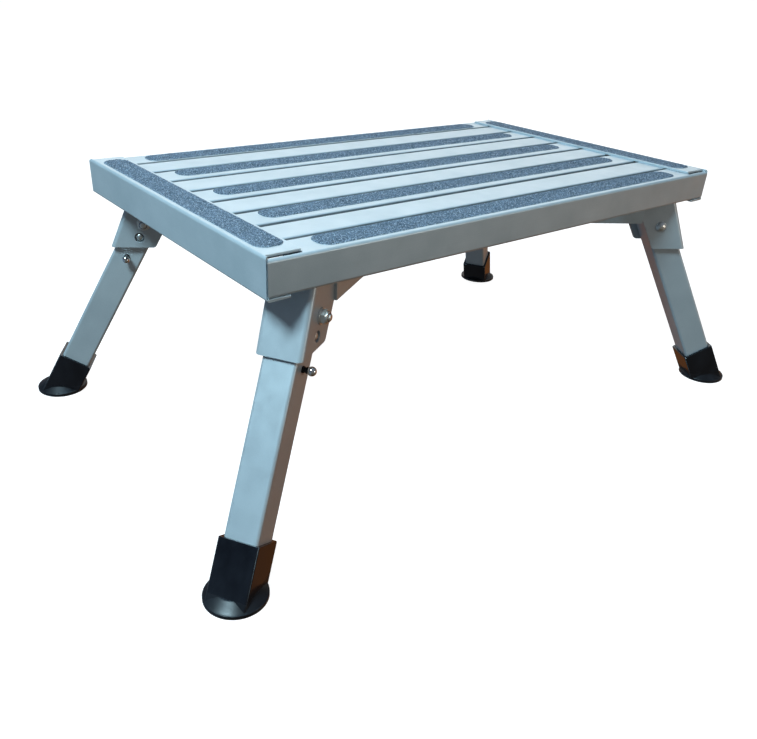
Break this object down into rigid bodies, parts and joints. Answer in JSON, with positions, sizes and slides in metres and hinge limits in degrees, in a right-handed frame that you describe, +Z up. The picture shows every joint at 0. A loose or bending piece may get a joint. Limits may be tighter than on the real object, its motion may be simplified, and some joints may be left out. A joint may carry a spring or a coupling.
{
  "type": "folding platform step",
  "caption": "Low folding platform step with a slatted metal deck, grit strips, and splayed square legs that lock open and fold flat underneath.",
  "frame": {"origin": "on the ground, under the middle of the deck", "axes": "+X along the deck to the right end, +Y from front to back, +Z up"},
  "size_m": [0.6492, 0.407, 0.2313],
  "materials": {
    "deck_metal": "satin silver-grey coat",
    "leg_metal": "satin silver-grey coat",
    "grit": "rough mineral grit on a dark backing",
    "boot": "glossy moulded",
    "zinc": "bright zinc plate",
    "knob_chrome": "polished",
    "black_steel": "black oxide, slightly oiled",
    "bush_plastic": "matt"
  },
  "bodies": {
    "deck": {"left_end_rail": "deck_metal", "right_end_rail": "deck_metal", "front_rail": "deck_metal", "rear_rail": "deck_metal", "slat_1": "deck_metal", "slat_2": "deck_metal", "slat_3": "deck_metal", "slat_4": "deck_metal", "slat_5": "deck_metal", "slat_6": "deck_metal", "slat_7": "deck_metal", "grip_left_end": "grit", "grip_right_end": "grit", "grip_front_rail": "grit", "grip_rear_rail": "grit", "grip_slat_2": "grit", "grip_slat_4": "grit", "grip_slat_6": "grit", "leg_channel_fl": "deck_metal", "leg_bracket_fl": "leg_metal", "pivot_bolt_fl": "zinc", "pivot_nut_fl": "zinc", "leg_channel_bl": "deck_metal", "leg_bracket_bl": "leg_metal", "pivot_bolt_bl": "zinc", "pivot_nut_bl": "zinc", "leg_channel_fr": "deck_metal", "leg_bracket_fr": "leg_metal", "pivot_bolt_fr": "zinc", "pivot_nut_fr": "zinc", "leg_channel_br": "deck_metal", "leg_bracket_br": "leg_metal", "pivot_bolt_br": "zinc", "pivot_nut_br": "zinc", "bracket_rivets": "zinc"},
    "leg_fl": {"leg_tube_fl": "leg_metal", "leg_foot_fl": "boot", "pivot_bush_fl": "bush_plastic"},
    "lock_fl": {"lock_spring_fl": "zinc", "lock_stem_fl": "black_steel", "lock_knob_fl": "knob_chrome"},
    "leg_bl": {"leg_tube_bl": "leg_metal", "leg_foot_bl": "boot", "pivot_bush_bl": "bush_plastic"},
    "lock_bl": {"lock_spring_bl": "zinc", "lock_stem_bl": "black_steel", "lock_knob_bl": "knob_chrome"},
    "leg_fr": {"leg_tube_fr": "leg_metal", "leg_foot_fr": "boot", "pivot_bush_fr": "bush_plastic"},
    "lock_fr": {"lock_spring_fr": "zinc", "lock_stem_fr": "black_steel", "lock_knob_fr": "knob_chrome"},
    "leg_br": {"leg_tube_br": "leg_metal", "leg_foot_br": "boot", "pivot_bush_br": "bush_plastic"},
    "lock_br": {"lock_spring_br": "zinc", "lock_stem_br": "black_steel", "lock_knob_br": "knob_chrome"}
  },
  "joints": [
    {"name": "leg_fold_fl", "type": "hinge", "parent": "deck", "child": "leg_fl", "pos_m": [-0.2155, -0.1275, 0.1775], "axis": [0.5225, -0.8526, 0], "range_deg": [0, 117], "deforming": ["lock_spring_fl"]},
    {"name": "knob_press_fl", "type": "slide", "parent": "leg_fl", "child": "lock_fl", "axis": [-0.5225, 0.8526, 0], "range_m": [0, 0.003], "stiffness_N_per_m": 800, "springref_m": -0.002},
    {"name": "leg_fold_bl", "type": "hinge", "parent": "deck", "child": "leg_bl", "pos_m": [-0.2155, 0.1275, 0.1775], "axis": [-0.5225, -0.8526, 0], "range_deg": [0, 117], "deforming": ["lock_spring_bl"]},
    {"name": "knob_press_bl", "type": "slide", "parent": "leg_bl", "child": "lock_bl", "axis": [0.5225, 0.8526, 0], "range_m": [0, 0.003], "stiffness_N_per_m": 800, "springref_m": -0.002},
    {"name": "leg_fold_fr", "type": "hinge", "parent": "deck", "child": "leg_fr", "pos_m": [0.2155, -0.1275, 0.1775], "axis": [0.5225, 0.8526, 0], "range_deg": [0, 117], "deforming": ["lock_spring_fr"]},
    {"name": "knob_press_fr", "type": "slide", "parent": "leg_fr", "child": "lock_fr", "axis": [-0.5225, -0.8526, 0], "range_m": [0, 0.003], "stiffness_N_per_m": 800, "springref_m": -0.002},
    {"name": "leg_fold_br", "type": "hinge", "parent": "deck", "child": "leg_br", "pos_m": [0.2155, 0.1275, 0.1775], "axis": [-0.5225, 0.8526, 0], "range_deg": [0, 117], "deforming": ["lock_spring_br"]},
    {"name": "knob_press_br", "type": "slide", "parent": "leg_br", "child": "lock_br", "axis": [0.5225, -0.8526, 0], "range_m": [0, 0.003], "stiffness_N_per_m": 800, "springref_m": -0.002}
  ]
}
